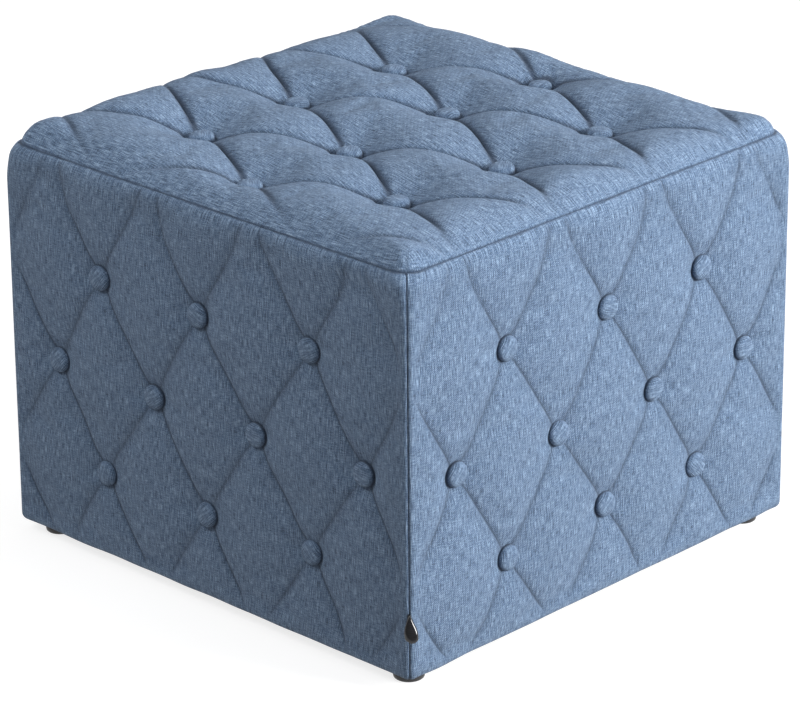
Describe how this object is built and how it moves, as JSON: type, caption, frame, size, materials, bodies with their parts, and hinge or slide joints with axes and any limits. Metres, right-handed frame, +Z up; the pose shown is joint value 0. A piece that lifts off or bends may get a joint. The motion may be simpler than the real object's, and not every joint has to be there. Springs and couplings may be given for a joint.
{
  "type": "tufted footstool",
  "caption": "Square fabric footstool with button-tufted diamond pillows on the top and sides, on low round feet.",
  "frame": {"origin": "on the floor under the centre of the stool", "axes": "+Z up, -Y towards the front, which is the right-hand face in the picture, +X to the right of it"},
  "size_m": [0.5, 0.5, 0.4],
  "materials": {
    "upholstery_fabric": "woven melange",
    "button_fabric": "woven melange",
    "twine": "twisted",
    "toggle_plastic": "matte",
    "foam": "open cell",
    "plywood": "raw",
    "hardboard": "raw",
    "pine": "sawn",
    "dust_cover_cloth": "non-woven",
    "foot_plastic": "satin",
    "steel": "zinc plated",
    "tag_satin": "glossy satin ribbon"
  },
  "bodies": {
    "root": {"back_board": "hardboard", "back_bottom_rail": "pine", "back_buttons": "button_fabric", "back_cover": "upholstery_fabric", "back_foam": "foam", "back_left_post": "pine", "back_right_post": "pine", "back_ties": "twine", "back_toggles": "toggle_plastic", "back_top_rail": "pine", "dust_cover": "dust_cover_cloth", "feet": "foot_plastic", "foot_bolts": "steel", "front_board": "hardboard", "front_bottom_rail": "pine", "front_buttons": "button_fabric", "front_cover": "upholstery_fabric", "front_foam": "foam", "front_left_post": "pine", "front_right_post": "pine", "front_ties": "twine", "front_toggles": "toggle_plastic", "front_top_rail": "pine", "left_board": "hardboard", "left_bottom_rail": "pine", "left_buttons": "button_fabric", "left_cover": "upholstery_fabric", "left_foam": "foam", "left_ties": "twine", "left_toggles": "toggle_plastic", "left_top_rail": "pine", "right_board": "hardboard", "right_bottom_rail": "pine", "right_buttons": "button_fabric", "right_cover": "upholstery_fabric", "right_foam": "foam", "right_ties": "twine", "right_toggles": "toggle_plastic", "right_top_rail": "pine", "seam_tag": "tag_satin", "seat_board": "plywood", "seat_foam": "foam", "top_buttons": "button_fabric", "top_cover": "upholstery_fabric", "top_ties": "twine", "top_toggles": "toggle_plastic"}
  },
  "joints": []
}
